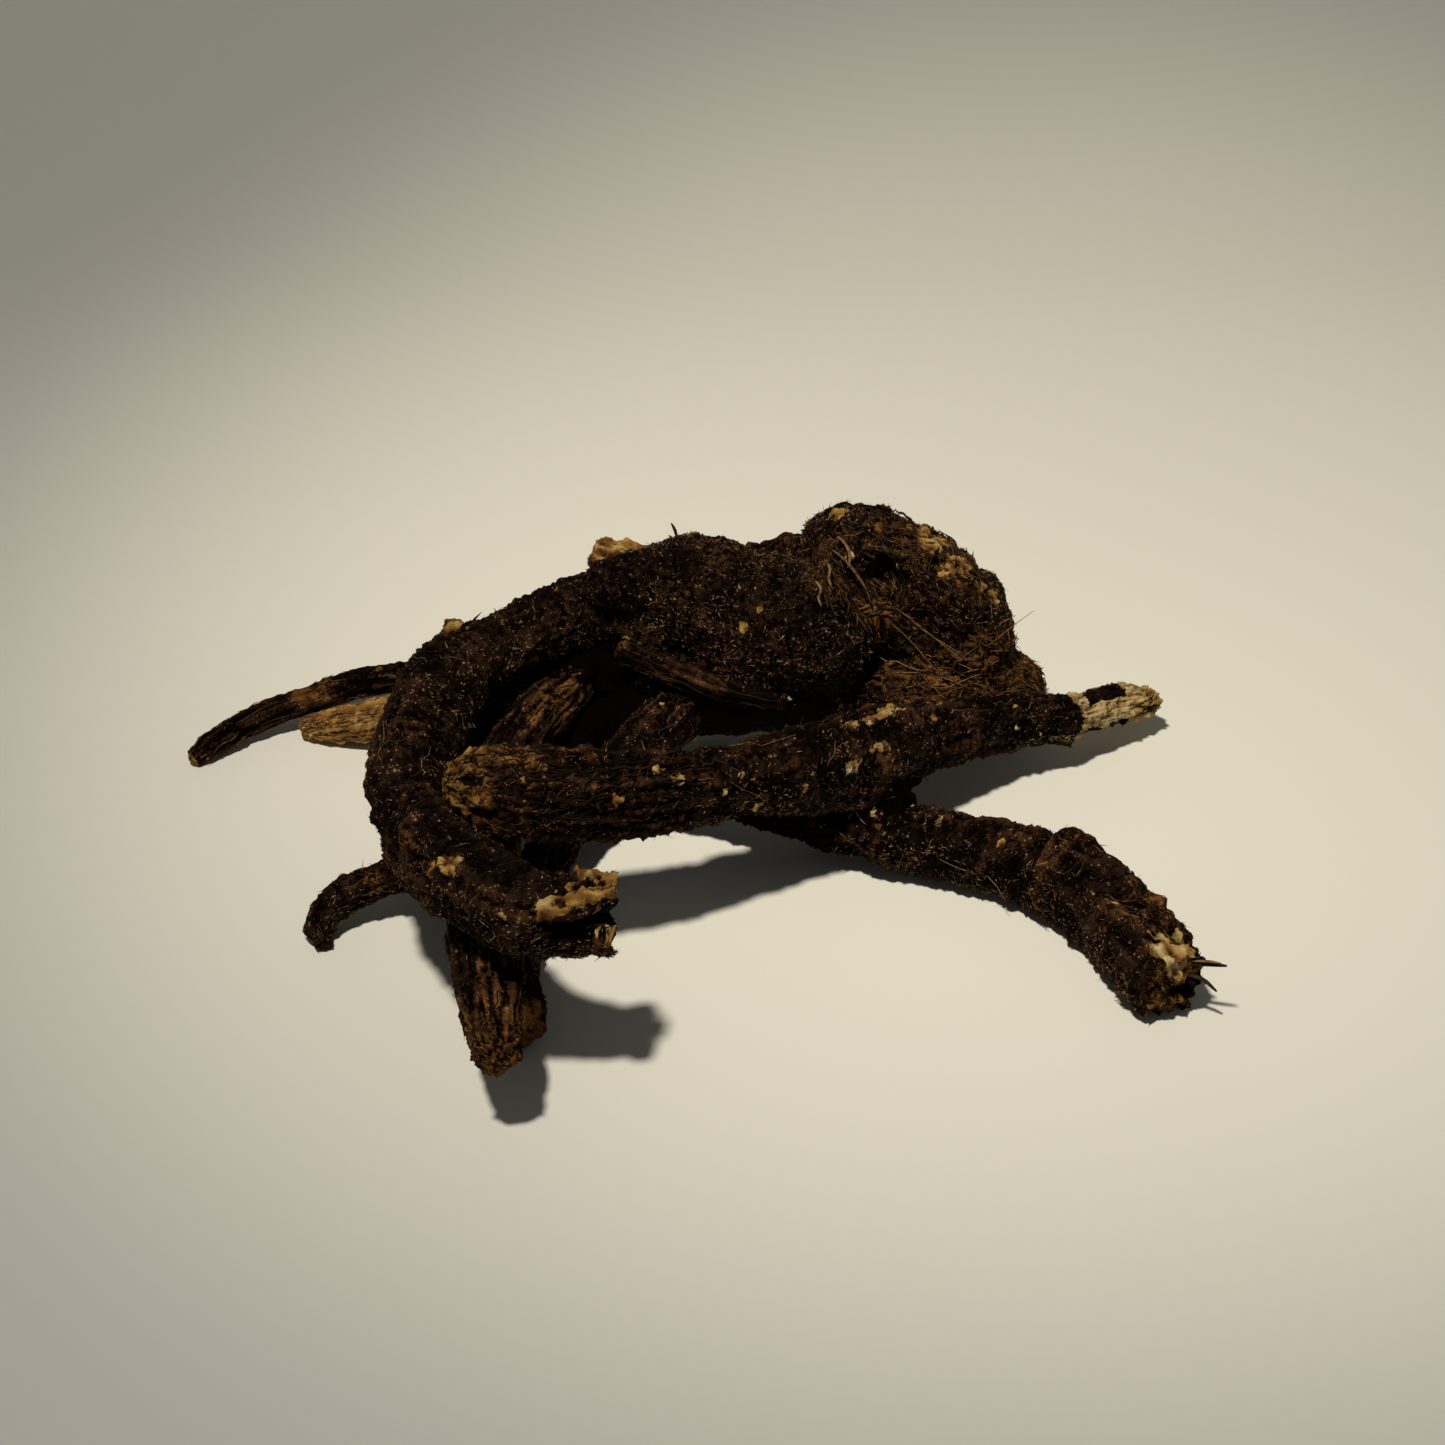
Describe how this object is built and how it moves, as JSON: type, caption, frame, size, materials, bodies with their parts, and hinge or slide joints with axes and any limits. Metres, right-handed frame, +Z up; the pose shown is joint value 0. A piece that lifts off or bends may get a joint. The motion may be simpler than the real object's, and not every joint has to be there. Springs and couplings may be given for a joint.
{
  "type": "dried medicinal root",
  "caption": "Dried rootstock with a lumpy bristly crown and long crooked roots that hook, cross and fork from it.",
  "frame": {"origin": "middle of the outline seen from above, on the plane the rootstock lies on", "axes": "+X along the longest reach, towards the peeled tip and the thick front root; +Y from the open end of the hook towards the crown; +Z up"},
  "size_m": [0.1454, 0.1068, 0.0334],
  "materials": {
    "bark": "dry dark brown bark, wrinkled along the roots and covered with short light brown bristles",
    "bare_wood": "pale tan wood where the bark is torn, peeled or cut away, fibrous and dull"
  },
  "bodies": {
    "root": {"osha_root": "bark"}
  },
  "joints": []
}
